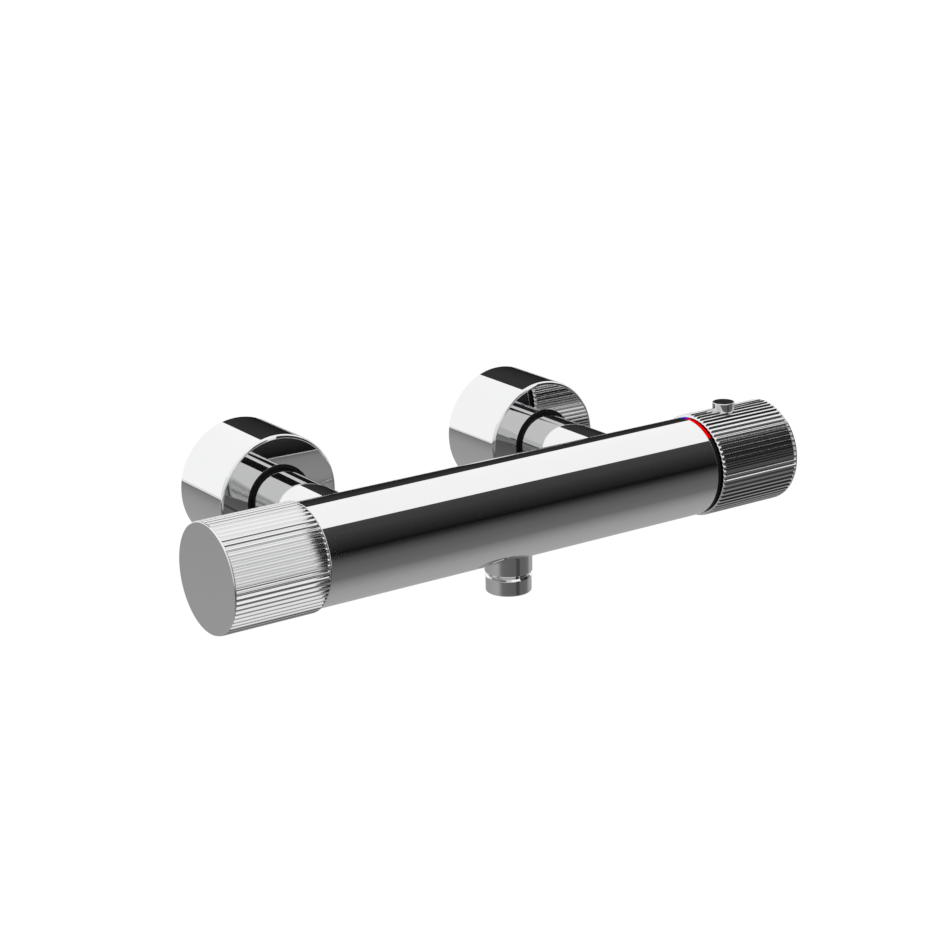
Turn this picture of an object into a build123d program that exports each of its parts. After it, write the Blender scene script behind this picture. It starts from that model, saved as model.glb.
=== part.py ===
from build123d import *
import os
from math import cos, pi, radians, sin, sqrt

# Exposed thermostatic shower mixer, in millimetres.
# X runs along the bar to the right, -Y points at the user and +Z is up.
# The origin is on the finished wall, midway between the two wall connections.

# Overall layout
inlet_spacing = 150.0
bar_to_wall = 112.8
bar_rise = 8.0
casing_beyond_inlet = 17.4

# Clearances and the overrun of every cut
running_clearance = 0.05
seat_clearance = 0.1
free_gap = 0.3
overrun = 1.0

# Pipe threads, given as plain cylinders of their outer diameter
half_inch_thread_diameter = 20.955
three_quarter_thread_diameter = 26.44

# Casing of the bar
casing_radius = 23.3
casing_wall = 1.8
casing_edge = 0.3

# Knob sleeves, their rounded ribs and the end discs
knob_length = 45.8
knob_tip_radius = 24.4
knob_bore_radius = 21.2
rib_count = 64
rib_round = 1.4
knob_nose_round = 1.2
disc_radius = 24.2
disc_thickness = 0.8
disc_edge = 0.25
disc_spigot_length = 4.0
disc_spigot_wall = 1.5
flow_joint_gap = 0.4

# Scale ring and the dark gap beside the temperature knob
scale_width = 1.8
scale_thickness = 0.85
scale_recess = 0.1
shadow_gap = 1.0
mark_split_deg = -4.0
mark_span_deg = 45.5

# Stop rings, and the lugs that end each knob's turn
stop_rim_setback = 0.3
stop_plate = 3.2
stop_skirt_length = 3.0
stop_skirt_wall = 2.0
stop_lug_width = 2.0
stop_lug_reach = 5.0
stop_lug_span_deg = 40.0
stop_margin_deg = 1.0
temperature_hot_deg = 45.0
temperature_cold_deg = 180.0
flow_turn_deg = 90.0

# Knob hubs
hub_sleeve_wall = 3.1
hub_start_gap = 0.8
hub_boss_radius = 7.5
hub_boss_start = 5.0
hub_web_start = 26.0
hub_web = 4.0
hub_lug_length = 3.0
spline_count = 20
spline_tip_radius = 4.0
spline_root_radius = 3.6
knob_screw_radius = 2.0
knob_screw_length = 14.0
knob_screw_head_radius = 3.5
knob_screw_head_height = 2.6
knob_screw_drive_width = 2.5
knob_screw_drive_depth = 1.6

# Safety button
button_place = 19.7
button_radius = 5.25
button_top = 28.0
button_edge = 0.3
button_skirt_end = 22.0
button_roof = 1.0
button_wall = 0.9
button_stem_radius = 1.8
button_foot_radius = 3.0
button_foot_height = 1.3
button_pocket_floor = 19.6
button_travel = 2.0
button_spring_wire = 0.3
button_spring_turns = 4.0

# Water body inside the casing
core_inset = 4.0
core_collar_width = 5.0
barrel_radius = 15.0
hot_gallery_gap = 2.9
gallery_bore_radius = 2.6
gallery_wall = 2.4
mixed_bore_radius = 5.0
inlet_bore_radius = 6.0
inlet_floor = 12.0
inlet_boss_radius = 12.0
inlet_boss_top = 22.5
outlet_boss_end = 20.4

# Ceramic valve of the flow side
valve_thread_length = 14.3
valve_hex = 24.0
valve_hex_length = 3.1
valve_chamber_length = 10.5
valve_barrel_radius = 8.4
valve_barrel_wall = 1.0
valve_depth = 36.8
valve_seal_thickness = 3.4
valve_seal_hole = 4.5
ceramic_thickness = 3.0
ceramic_port_inner = 2.0
ceramic_port_outer = 6.2
ceramic_port_deg = 80.0
closed_turn_deg = 90.0
ceramic_slot_width = 2.4
ceramic_slot_length = 9.0
ceramic_slot_depth = 1.4
driver_bar_width = 5.5
driver_bar_thickness = 3.2
valve_window_width = 7.0
valve_window_length = 4.6
flow_journal_radius = 5.0
flow_journal_end = 5.2
spindle_end_gap = 1.0

# Thermostat cartridge of the temperature side
cartridge_gap = 2.5
cartridge_depth = 56.4
cartridge_floor_gap = 2.0
cartridge_end_wall = 2.5
cartridge_waist_depth = 1.6
cartridge_wall = 2.3
cartridge_hot_waist = 14.0
cartridge_middle_land = 8.0
cartridge_cold_waist = 12.0
cartridge_outer_land = 10.0
cartridge_spigot_share = 0.68
cartridge_spigot_length = 3.0
port_radius = 1.9
port_count = 8
core_cartridge_wall = 4.0
shuttle_length = 12.0
shuttle_wall = 2.0
shuttle_web = 2.5
shuttle_hot_gap = 0.8
shuttle_hole_radius = 1.5
shuttle_hole_count = 6
wax_bulb_share = 0.41
wax_bulb_length = 10.0
wax_collar_step = 0.9
wax_pin_radius = 1.6
wax_pin_length = 8.0
return_spring_share = 0.63
return_spring_wire = 0.7
return_spring_turns = 4.5
pusher_length = 10.0
pusher_floor = 2.0
regulating_thread_radius = 4.0
regulating_end_gap = 1.6
thrust_collar_share = 0.64
thrust_collar = 2.8
regulating_journal_radius = 5.0
cap_hex_share = 2.0
cap_hex_length = 3.0
cap_boss_share = 0.82
cap_boss_end = 0.8

# Inlet necks, tail pieces and union nuts, measured outwards from the wall
neck_radius = 14.5
neck_bore_radius = 9.2
neck_start = 26.5
neck_socket_length = 15.2
neck_reach = 17.0
tail_collar_start = 20.5
tail_collar_radius = 11.9
tail_collar = 3.0
tail_shank_radius = 10.0
tail_shank_end = 40.0
tail_bore_radius = 7.5
nut_hex = 30.0
nut_start = 10.0
nut_lip = 2.6
washer_thickness = 2.4
washer_hole_radius = 8.5
washer_radius = 12.8
strainer_radius = 8.9
strainer_thickness = 0.6
strainer_hole_radius = 0.65
strainer_pitch = 2.3
strainer_rings = 3

# Eccentric wall unions
union_bore_radius = 7.5
union_wall_thread = 12.0
union_straight = 2.0
union_blend_end = 9.5

# Escutcheons and their grip rings
escutcheon_radius = 30.4
escutcheon_depth = 38.2
escutcheon_wall = 1.6
escutcheon_front = 1.8
escutcheon_round = 1.6
grip_ring_width = 1.85
grip_ring_recess = 0.2
grip_ring_lip = 1.2
grip_ring_back = 1.3

# Check valves in the necks
cage_flange = 1.5
cage_length = 16.0
cage_seat = 4.0
cage_seat_radius = 5.0
cage_bore_radius = 6.8
cage_bridge = 3.0
cage_bridge_width = 3.0
poppet_radius = 6.2
poppet_head = 2.0
poppet_stem_radius = 1.5
poppet_travel = 3.0
check_spring_radius = 3.2
check_spring_wire = 0.35
check_spring_turns = 4.0

# O-rings
large_ring_wire = 1.1
small_ring_wire = 0.8

# Outlet nipple under the bar, measured down from the bar's axis
outlet_neck_radius = 10.9
outlet_neck_end = 29.0
outlet_groove_radius = 9.6
outlet_groove_land = 0.4
outlet_end = 38.7
outlet_bore_radius = 6.2
outlet_spigot_radius = 9.0
outlet_spigot_top = 14.0
outlet_edge = 0.4

casing_right = inlet_spacing / 2 + inlet_boss_radius + casing_beyond_inlet
scale_far = casing_right + scale_width
knob_near = scale_far + shadow_gap
casing_left = knob_near - flow_joint_gap
disc_near = knob_near + knob_length - disc_thickness
flow_mouth = casing_left - core_inset
cartridge_mouth = casing_right - core_inset
casing_bore = casing_radius - casing_wall
core_collar_radius = casing_bore - seat_clearance
cartridge_radius = casing_bore - cartridge_gap - core_cartridge_wall - seat_clearance
cartridge_waist_radius = cartridge_radius - cartridge_waist_depth
cartridge_bore_radius = cartridge_waist_radius - cartridge_wall
cartridge_spigot_radius = cartridge_bore_radius * cartridge_spigot_share
wax_bulb_radius = cartridge_bore_radius * wax_bulb_share
wax_collar_radius = wax_bulb_radius + wax_collar_step
return_spring_radius = cartridge_bore_radius * return_spring_share
thrust_collar_radius = cartridge_bore_radius * thrust_collar_share
cap_boss_radius = cartridge_bore_radius * cap_boss_share
cap_hex = cartridge_radius * cap_hex_share
outer_gallery = gallery_bore_radius + gallery_wall
hot_gallery_offset = casing_bore - hot_gallery_gap - outer_gallery
lower_gallery_offset = valve_barrel_radius + gallery_bore_radius + 2 * seat_clearance
outlet_bore_top = lower_gallery_offset - gallery_bore_radius
hub_radius = knob_bore_radius - seat_clearance
hub_bore = hub_radius - hub_sleeve_wall
stop_lug_outer = hub_bore - free_gap
stop_lug_inner = stop_lug_outer - stop_lug_width
thread_radius = half_inch_thread_diameter / 2
nut_thread_radius = three_quarter_thread_diameter / 2
cartridge_floor = cartridge_mouth - cartridge_depth
valve_floor = flow_mouth - valve_depth

bar = Pos(0, -bar_to_wall, bar_rise)
temperature_side = bar * Rot(0, 90, 0) * Rot(0, 0, 180)
flow_side = bar * Rot(0, -90, 0)
outlet_side = bar * Rot(180, 0, 0)
sides = {"hot": -1, "cold": 1}


def inlet(side):
    """Frame of one inlet: its Z leaves the wall along the neck's axis, its Y points up."""
    return Pos(sides[side] * inlet_spacing / 2, 0, bar_rise) * Rot(90, 0, 0)


def turned(*outline):
    """A solid turned about Z from (radius, height) points."""
    path = Polyline(*[(radius, 0, height) for radius, height in outline], close=True)
    return revolve(make_face(path), Axis.Z)


def rod(radius, low, high):
    return turned((0, low), (radius, low), (radius, high), (0, high))


def off_axis_rod(offset, radius, low, high):
    return Pos(offset, 0, 0) * rod(radius, low, high)


def tube(outer, inner, low, high):
    return turned((inner, low), (outer, low), (outer, high), (inner, high))


def hexagon(across_flats, low, high):
    corner = across_flats / 2 / cos(radians(30))
    return Pos(0, 0, low) * extrude(RegularPolygon(corner, 6), high - low)


def ring(centre_radius, wire_radius, height):
    return Pos(0, 0, height) * Torus(centre_radius, wire_radius)


def wedge(outer, inner, low, high, start_deg, span_deg):
    """A sector of a tube, from start_deg onwards, turning from X towards Y."""
    section = Polyline((inner, 0, low), (outer, 0, low), (outer, 0, high), (inner, 0, high), close=True)
    return Rot(0, 0, start_deg) * revolve(make_face(section), Axis.Z, span_deg)


def helix_point(radius, rise, angle):
    return Vector(radius * cos(angle), radius * sin(angle), rise * angle / (2 * pi))


def helix_heading(radius, rise, angle):
    return Vector(-radius * sin(angle), radius * cos(angle), rise / (2 * pi)).normalized()


def coil(radius, wire_radius, low, high, turns):
    """A round-wire spring between two heights, wound on quarter-turn pairs of arcs."""
    rise = (high - low - 2 * wire_radius) / turns
    arcs = []
    quarters = round(turns * 4)
    for quarter in range(quarters):
        first, last = quarter * pi / 2, (quarter + 1) * pi / 2
        start, end = helix_point(radius, rise, first), helix_point(radius, rise, last)
        leave, arrive = helix_heading(radius, rise, first), helix_heading(radius, rise, last)
        chord, both = end - start, leave + arrive
        bend = 2 * (1 - leave.dot(arrive))
        reach = (sqrt(chord.dot(both) ** 2 + bend * chord.dot(chord)) - chord.dot(both)) / bend
        middle = (start + end + (leave - arrive) * reach) * 0.5
        heading = (end - start - both * reach).normalized()
        arcs.append(TangentArc(start, middle, tangent=leave))
        arcs.append(TangentArc(middle, end, tangent=heading))
    start = Plane(origin=helix_point(radius, rise, 0), z_dir=helix_heading(radius, rise, 0))
    return Pos(0, 0, low + wire_radius) * sweep(start * Circle(wire_radius), path=Wire(arcs))


def star(tip_radius, root_radius, count, low, high):
    """A splined bar with count teeth."""
    corners = []
    for tooth in range(count):
        for share, radius in ((0.0, tip_radius), (0.5, root_radius)):
            angle = 2 * pi * (tooth + share) / count
            corners.append((radius * cos(angle), radius * sin(angle), low))
    return extrude(make_face(Polyline(*corners, close=True)), high - low)


# Casing: a chromed tube with holes for the two necks and the outlet

def casing():
    shell = bar * Rot(0, 90, 0) * turned(
        (casing_bore, -casing_left),
        (casing_radius - casing_edge, -casing_left),
        (casing_radius, casing_edge - casing_left),
        (casing_radius, casing_right - casing_edge),
        (casing_radius - casing_edge, casing_right),
        (casing_bore, casing_right))
    for side in sides:
        shell -= inlet(side) * rod(neck_radius + seat_clearance, 0, bar_to_wall)
    return shell - outlet_side * rod(outlet_neck_radius + seat_clearance, 0, casing_radius + overrun)


# Water body: the brass core that joins inlets, cartridge, ceramic valve and outlet

def water_body():
    across = bar * Rot(0, 90, 0)
    left, right = -flow_mouth, cartridge_mouth
    cartridge_barrel = cartridge_radius + seat_clearance + core_cartridge_wall
    inlet_place = inlet_spacing / 2
    body = across * rod(barrel_radius, left, cartridge_floor)
    body += across * rod(cartridge_barrel, cartridge_floor - core_cartridge_wall, right)
    body += across * rod(core_collar_radius, left, left + core_collar_width)
    body += across * rod(core_collar_radius, right - core_collar_width, right)
    wall_side = across * Rot(0, 0, 90)
    valve_port = -(flow_mouth - valve_thread_length - valve_chamber_length / 2)
    hot_end = -inlet_place - inlet_bore_radius
    body += wall_side * off_axis_rod(hot_gallery_offset, outer_gallery, hot_end, cartridge_floor)
    body += across * off_axis_rod(lower_gallery_offset, outer_gallery, valve_port - outer_gallery, 0)
    boss_bottom = bar_to_wall - inlet_boss_top
    for side in sides:
        body += inlet(side) * rod(inlet_boss_radius, boss_bottom, bar_to_wall - inlet_floor)
    body += outlet_side * rod(outlet_neck_radius, outlet_bore_top, outlet_boss_end)
    return body - water_ways(across, wall_side, valve_port, boss_bottom)


def water_ways(across, wall_side, valve_port, boss_bottom):
    inlet_place = inlet_spacing / 2
    cartridge_bore = cartridge_radius + seat_clearance
    ways = across * rod(cartridge_bore, cartridge_floor, cartridge_mouth + overrun)
    ways += across * rod(mixed_bore_radius, -valve_floor - overrun, cartridge_floor + overrun)
    spigot_bore = cartridge_spigot_radius + seat_clearance
    ways += across * rod(spigot_bore, cartridge_floor - cartridge_spigot_length, cartridge_floor + overrun)
    chamber_end = flow_mouth - valve_thread_length - valve_chamber_length
    ways += across * rod(thread_radius + seat_clearance, -flow_mouth - overrun, -chamber_end)
    ways += across * rod(valve_barrel_radius + seat_clearance, -chamber_end - overrun, -valve_floor)
    hot_end = cartridge_floor + overrun
    ways += wall_side * off_axis_rod(hot_gallery_offset, gallery_bore_radius, -inlet_place, hot_end)
    ways += across * off_axis_rod(lower_gallery_offset, gallery_bore_radius, valve_port, 0)
    valve_port_side = Pos(valve_port, 0, 0) * outlet_side
    ways += valve_port_side * rod(gallery_bore_radius, valve_barrel_radius, lower_gallery_offset)
    outlet_bore = outlet_spigot_radius + seat_clearance
    ways += outlet_side * rod(outlet_bore, outlet_bore_top, outlet_boss_end + overrun)
    neck_hole = neck_radius + seat_clearance
    neck_floor = bar_to_wall - neck_reach + free_gap
    for side in sides:
        ways += inlet(side) * tube(neck_hole, inlet_boss_radius, 0, neck_floor)
        floor = bar_to_wall - inlet_floor
        ways += inlet(side) * rod(inlet_bore_radius, boss_bottom - overrun, floor)
        groove = boss_bottom + large_ring_wire * 2
        ways += inlet(side) * boss_groove(groove)
    return ways


def boss_groove(height):
    """The seal groove round an inlet boss."""
    floor = inlet_boss_radius - 2 * large_ring_wire
    half = large_ring_wire + seat_clearance
    return tube(inlet_boss_radius + overrun, floor, height - half, height + half)


def neck_seals():
    height = bar_to_wall - inlet_boss_top + large_ring_wire * 2
    centre = inlet_boss_radius + seat_clearance / 2 - large_ring_wire
    return [inlet(side) * ring(centre, large_ring_wire, height) for side in sides]


# Inlets: neck, tail piece, nut, washer, strainer and eccentric union on each side

def neck():
    end = bar_to_wall - neck_reach
    boss_seat = bar_to_wall - inlet_boss_top - seat_clearance
    socket = tail_shank_radius + seat_clearance
    socket_end = neck_start + neck_socket_length
    return turned(
        (socket, neck_start), (neck_radius, neck_start), (neck_radius, end),
        (inlet_boss_radius + seat_clearance, end), (inlet_boss_radius + seat_clearance, boss_seat),
        (neck_bore_radius, boss_seat), (neck_bore_radius, socket_end), (socket, socket_end))


def tail_piece():
    seat = tail_collar_start + strainer_thickness + seat_clearance
    seat_radius = strainer_radius + seat_clearance
    collar_end = tail_collar_start + tail_collar
    return turned(
        (tail_bore_radius, seat), (seat_radius, seat), (seat_radius, tail_collar_start),
        (tail_collar_radius, tail_collar_start), (tail_collar_radius, collar_end),
        (tail_shank_radius, collar_end), (tail_shank_radius, tail_shank_end),
        (tail_bore_radius, tail_shank_end))


def union_nut():
    lip_start = tail_collar_start + tail_collar + seat_clearance
    nut = hexagon(nut_hex, nut_start, lip_start + nut_lip)
    nut -= rod(nut_thread_radius + seat_clearance, nut_start - overrun, lip_start)
    return nut - rod(tail_shank_radius + seat_clearance, lip_start - overrun, lip_start + nut_lip + overrun)


def sealing_washer():
    return tube(washer_radius, washer_hole_radius, tail_collar_start - washer_thickness, tail_collar_start)


def strainer():
    end = tail_collar_start + strainer_thickness
    mesh = rod(strainer_radius, tail_collar_start, end)
    hole = rod(strainer_hole_radius, tail_collar_start - overrun, end + overrun)
    holes = [hole]
    for count in range(1, strainer_rings + 1):
        for place in range(6 * count):
            holes.append(Rot(0, 0, 60 * place / count) * Pos(count * strainer_pitch, 0, 0) * hole)
    return mesh - holes


def union_end(radius, low, high):
    """A rod on the wall end's axis, which the eccentric union sets below the neck."""
    return Pos(0, -bar_rise, 0) * rod(radius, low, high)


def union_blend(wall_radius, nut_radius):
    wall_circle = Pos(0, -bar_rise, union_straight) * Circle(wall_radius)
    nut_circle = Pos(0, 0, union_blend_end) * Circle(nut_radius)
    return loft([wall_circle, nut_circle], ruled=True)


def eccentric_union():
    end = tail_collar_start - washer_thickness
    union = union_end(thread_radius, -union_wall_thread, union_straight)
    union += union_blend(thread_radius, nut_thread_radius)
    union += rod(nut_thread_radius, union_blend_end, end)
    union -= union_end(union_bore_radius, -union_wall_thread - overrun, union_straight)
    union -= union_blend(union_bore_radius, union_bore_radius)
    return union - rod(union_bore_radius, union_blend_end, end + overrun)


# Escutcheons: deep cups that slide forward on the necks, each with a black grip ring

def grip_hole_radius():
    return neck_radius + running_clearance + grip_ring_width + seat_clearance / 2


def escutcheon():
    bore = escutcheon_radius - escutcheon_wall
    floor = escutcheon_depth - escutcheon_front
    cup = turned(
        (bore, 0), (escutcheon_radius, 0), (escutcheon_radius, escutcheon_depth),
        (grip_hole_radius(), escutcheon_depth), (grip_hole_radius(), floor), (bore, floor))
    rim = [edge for edge in cup.edges().filter_by(GeomType.CIRCLE)
           if abs(edge.radius - escutcheon_radius) < seat_clearance and edge.center().Z > floor]
    return fillet(rim, escutcheon_round)


def grip_ring():
    inner = neck_radius + running_clearance
    outer = inner + grip_ring_width
    floor = escutcheon_depth - escutcheon_front
    return turned(
        (inner, floor - grip_ring_back), (outer + grip_ring_lip, floor - grip_ring_back),
        (outer + grip_ring_lip, floor), (outer, floor),
        (outer, escutcheon_depth - grip_ring_recess), (inner, escutcheon_depth - grip_ring_recess))


# Check valves: a cage in each neck with a sprung poppet

def cage_start():
    return tail_shank_end + seat_clearance


def check_cage():
    low = cage_start()
    flange_end = low + cage_flange
    end = low + cage_length
    seat_end = low + cage_seat
    barrel = neck_bore_radius - seat_clearance
    cage = turned(
        (cage_seat_radius, low), (tail_shank_radius, low), (tail_shank_radius, flange_end),
        (barrel, flange_end), (barrel, end), (cage_bore_radius, end),
        (cage_bore_radius, seat_end), (cage_seat_radius, seat_end))
    bridge = Box(cage_bore_radius + barrel, cage_bridge_width, cage_bridge)
    bridge = Pos(0, 0, end - cage_bridge / 2) * bridge
    guide = rod(cage_bridge_width, end - cage_bridge, end)
    return cage + bridge + guide - rod(poppet_stem_radius + running_clearance, seat_end, end + overrun)


def poppet():
    low = cage_start() + cage_seat
    head_end = low + poppet_head
    stem_end = cage_start() + cage_length - running_clearance
    return turned(
        (0, low), (poppet_radius, low), (poppet_radius, head_end),
        (poppet_stem_radius, head_end), (poppet_stem_radius, stem_end), (0, stem_end))


def check_spring():
    low = cage_start() + cage_seat + poppet_head
    high = cage_start() + cage_length - cage_bridge
    return coil(check_spring_radius, check_spring_wire, low, high, check_spring_turns)


# Outlet nipple: neck, bevelled groove and the hose end

def outlet_nipple():
    neck_bevel = outlet_neck_end + outlet_neck_radius - outlet_groove_radius
    groove_end = neck_bevel + outlet_groove_land
    hose_start = groove_end + thread_radius - outlet_groove_radius
    nipple = turned(
        (outlet_bore_radius, outlet_spigot_top), (outlet_spigot_radius, outlet_spigot_top),
        (outlet_spigot_radius, outlet_boss_end), (outlet_neck_radius, outlet_boss_end),
        (outlet_neck_radius, outlet_neck_end), (outlet_groove_radius, neck_bevel),
        (outlet_groove_radius, groove_end), (thread_radius, hose_start),
        (thread_radius, outlet_end - outlet_edge), (thread_radius - outlet_edge, outlet_end),
        (outlet_bore_radius, outlet_end))
    half = small_ring_wire + seat_clearance
    place = outlet_seal_height()
    floor = outlet_spigot_radius - 2 * small_ring_wire
    return nipple - tube(outlet_neck_radius, floor, place - half, place + half)


def outlet_seal_height():
    return (outlet_spigot_top + outlet_boss_end) / 2 + small_ring_wire


def outlet_seal():
    centre = outlet_spigot_radius + seat_clearance / 2 - small_ring_wire
    return ring(centre, small_ring_wire, outlet_seal_height())


# Stop rings and scale

def stop_lug(low, high, middle_deg):
    start_deg = middle_deg - stop_lug_span_deg / 2
    return wedge(stop_lug_outer, stop_lug_inner, low, high, start_deg, stop_lug_span_deg)


def moving_lug_middle(lug_middle, turn_on, turn_back):
    """Angle of a hub's lug at rest, so that both turns end just short of the fixed lug."""
    half_spans = (stop_lug_span_deg + moving_lug_span(turn_on + turn_back)) / 2
    return lug_middle - turn_on - half_spans - stop_margin_deg


def moving_lug_span(turn):
    return 360 - turn - stop_lug_span_deg - 2 * stop_margin_deg


def temperature_stop_ring():
    plate_end = knob_near - stop_rim_setback
    plate_start = plate_end - stop_plate
    rim = casing_radius - scale_recess - scale_thickness - seat_clearance / 2
    rim_start = casing_right + running_clearance
    skirt_end = core_collar_radius
    plate = turned(
        (cap_boss_radius + seat_clearance, plate_start), (cap_boss_radius + seat_clearance, plate_end),
        (rim, plate_end), (rim, rim_start), (skirt_end, rim_start),
        (skirt_end, plate_start - stop_skirt_length),
        (skirt_end - stop_skirt_wall, plate_start - stop_skirt_length),
        (skirt_end - stop_skirt_wall, plate_start))
    return plate + stop_lug(plate_end - stop_plate / 2, knob_near + stop_lug_reach, 180)


def scale_arc(start_deg, span_deg):
    outer = casing_radius - scale_recess
    low = casing_right + running_clearance
    return wedge(outer, outer - scale_thickness, low, scale_far, start_deg, span_deg)


def scale_ring():
    return scale_arc(mark_split_deg + mark_span_deg, 360 - 2 * mark_span_deg)


def hot_mark():
    return scale_arc(mark_split_deg, mark_span_deg)


def cold_mark():
    return scale_arc(mark_split_deg - mark_span_deg, mark_span_deg)


def flow_stop_ring():
    start = flow_mouth + seat_clearance
    end = casing_left - stop_rim_setback
    hole = valve_hex / 2 / cos(radians(30)) + free_gap
    return tube(core_collar_radius, hole, start, end) + stop_lug(
        end - stop_plate / 2, knob_near + stop_lug_reach, 180)


# Knobs: ribbed sleeve, end disc, hub and screw, alike on both sides

def knob_sleeve():
    """A sleeve whose outline is one rounded rib after another."""
    half_pitch = pi / rib_count
    half_width = knob_tip_radius * sin(half_pitch)
    rib_depth = rib_round - sqrt(rib_round ** 2 - half_width ** 2)
    root = knob_tip_radius - rib_depth
    ribs = []
    for rib in range(rib_count):
        middle = 2 * pi * rib / rib_count
        start, end = middle - half_pitch, middle + half_pitch
        ribs.append(ThreePointArc(
            (root * cos(start), root * sin(start), knob_near),
            (knob_tip_radius * cos(middle), knob_tip_radius * sin(middle), knob_near),
            (root * cos(end), root * sin(end), knob_near)))
    sleeve = extrude(make_face(Wire(ribs)), disc_near - knob_near)
    sleeve -= rod(knob_bore_radius, knob_near - overrun, disc_near + overrun)
    return sleeve - nose_cutter()


def nose_cutter():
    """What rounds the sleeve's inner end."""
    inner, outer = knob_tip_radius - knob_nose_round, knob_tip_radius
    top = knob_near + knob_nose_round
    middle = (inner + knob_nose_round * sin(radians(45)), 0, top - knob_nose_round * cos(radians(45)))
    section = Wire([
        ThreePointArc((inner, 0, knob_near), middle, (outer, 0, top)),
        Line((outer, 0, top), (outer + overrun, 0, top)),
        Line((outer + overrun, 0, top), (outer + overrun, 0, knob_near - overrun)),
        Line((outer + overrun, 0, knob_near - overrun), (inner, 0, knob_near - overrun)),
        Line((inner, 0, knob_near - overrun), (inner, 0, knob_near))])
    return revolve(make_face(section), Axis.Z)


def end_disc():
    end = disc_near + disc_thickness
    spigot = disc_near - disc_spigot_length
    return turned(
        (0, disc_near), (hub_radius - disc_spigot_wall, disc_near),
        (hub_radius - disc_spigot_wall, spigot), (hub_radius, spigot), (hub_radius, disc_near),
        (disc_radius, disc_near), (disc_radius, end - disc_edge), (disc_radius - disc_edge, end), (0, end))


def web_end():
    return knob_near + hub_web_start + hub_web


def knob_hub(lug_middle, turn):
    start = knob_near + hub_start_gap
    end = disc_near - disc_spigot_length - seat_clearance
    boss_start = knob_near + hub_boss_start
    web_start = knob_near + hub_web_start
    hub = turned(
        (hub_bore, start), (hub_radius, start), (hub_radius, end), (hub_bore, end),
        (hub_bore, web_end()), (0, web_end()), (0, boss_start), (hub_boss_radius, boss_start),
        (hub_boss_radius, web_start), (hub_bore, web_start))
    lug_span = moving_lug_span(turn)
    lug_start = knob_near + stop_lug_reach - hub_lug_length
    hub += wedge(hub_bore + seat_clearance, stop_lug_inner, lug_start, lug_start + hub_lug_length,
                 lug_middle - lug_span / 2, lug_span)
    hub -= star(spline_tip_radius + seat_clearance, spline_root_radius + seat_clearance, spline_count,
                boss_start - overrun, web_start)
    return hub - rod(knob_screw_radius + seat_clearance, web_start - overrun, web_end() + overrun)


def knob_screw():
    head_end = web_end() + knob_screw_head_height
    screw = rod(knob_screw_radius, web_end() - knob_screw_length, web_end())
    screw += rod(knob_screw_head_radius, web_end(), head_end)
    return screw - hexagon(knob_screw_drive_width, head_end - knob_screw_drive_depth, head_end + overrun)


def spindle_stub(low):
    """The splined end of a spindle, tapped for the knob's screw."""
    end = knob_near + hub_web_start - spindle_end_gap
    stub = star(spline_tip_radius, spline_root_radius, spline_count, low, end)
    tapped = web_end() - knob_screw_length - overrun
    return stub - rod(knob_screw_radius + seat_clearance, tapped, end + overrun)


def temperature_lug_middle():
    return moving_lug_middle(180, temperature_hot_deg, temperature_cold_deg)


def flow_lug_middle():
    return moving_lug_middle(180, flow_turn_deg, 0)


# Safety button: its own axis leaves the bar's axis at the top of the knob

def button_frame():
    return bar * Pos(knob_near + button_place, 0, 0)


def temperature_knob():
    hole = button_frame() * rod(button_radius + running_clearance, 0, button_top)
    return temperature_side * knob_sleeve() - hole


def temperature_hub():
    hub = temperature_side * knob_hub(temperature_lug_middle(), temperature_hot_deg + temperature_cold_deg)
    frame = button_frame()
    hub -= frame * rod(button_radius + seat_clearance, button_pocket_floor, hub_radius + overrun)
    return hub - frame * rod(button_stem_radius + running_clearance, hub_boss_radius + overrun, hub_radius)


def safety_button():
    pocket = button_radius - button_wall
    roof = button_top - button_roof
    foot_top = hub_bore - free_gap
    foot = foot_top - button_foot_height
    return turned(
        (0, foot), (button_foot_radius, foot), (button_foot_radius, foot_top),
        (button_stem_radius, foot_top), (button_stem_radius, roof), (pocket, roof),
        (pocket, button_skirt_end), (button_radius, button_skirt_end),
        (button_radius, button_top - button_edge), (button_radius - button_edge, button_top),
        (0, button_top))


def button_spring():
    pocket = button_radius - button_wall
    radius = (pocket + button_stem_radius) / 2
    roof = button_top - button_roof
    return coil(radius, button_spring_wire, button_pocket_floor, roof, button_spring_turns)


# Ceramic valve: housing, two discs, seal and spindle

def seal_end():
    return valve_floor + valve_seal_thickness


def turning_face():
    return seal_end() + ceramic_thickness


def driver_start():
    return turning_face() + ceramic_thickness


def disc_bore():
    return valve_barrel_radius - valve_barrel_wall


def valve_housing():
    barrel_start = valve_floor + seat_clearance
    thread_start = flow_mouth - valve_thread_length
    hex_start = flow_mouth
    hex_end = hex_start + valve_hex_length
    bore_end = thread_start
    journal = flow_journal_radius + running_clearance
    housing = rod(valve_barrel_radius, barrel_start, thread_start + overrun)
    housing += rod(thread_radius, thread_start, flow_mouth)
    housing += hexagon(valve_hex, hex_start, hex_end)
    housing -= rod(disc_bore(), barrel_start - overrun, bore_end)
    housing -= rod(journal, bore_end - overrun, hex_end + overrun)
    window = driver_start() + driver_bar_thickness + valve_window_length / 2
    for turn in (0, 90):
        housing -= Rot(0, 0, turn) * Pos(0, 0, window) * Box(
            2 * thread_radius, valve_window_width, valve_window_length)
    seal_groove = seal_groove_height()
    half = small_ring_wire + seat_clearance
    return housing - tube(journal + 2 * small_ring_wire, 0, seal_groove - half, seal_groove + half)


def seal_groove_height():
    return flow_mouth - valve_thread_length / 3


def valve_seals():
    centre = flow_journal_radius + running_clearance / 2 + small_ring_wire
    return ring(centre, small_ring_wire, seal_groove_height())


def disc_seal():
    return tube(disc_bore() - seat_clearance, valve_seal_hole, valve_floor, seal_end())


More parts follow.
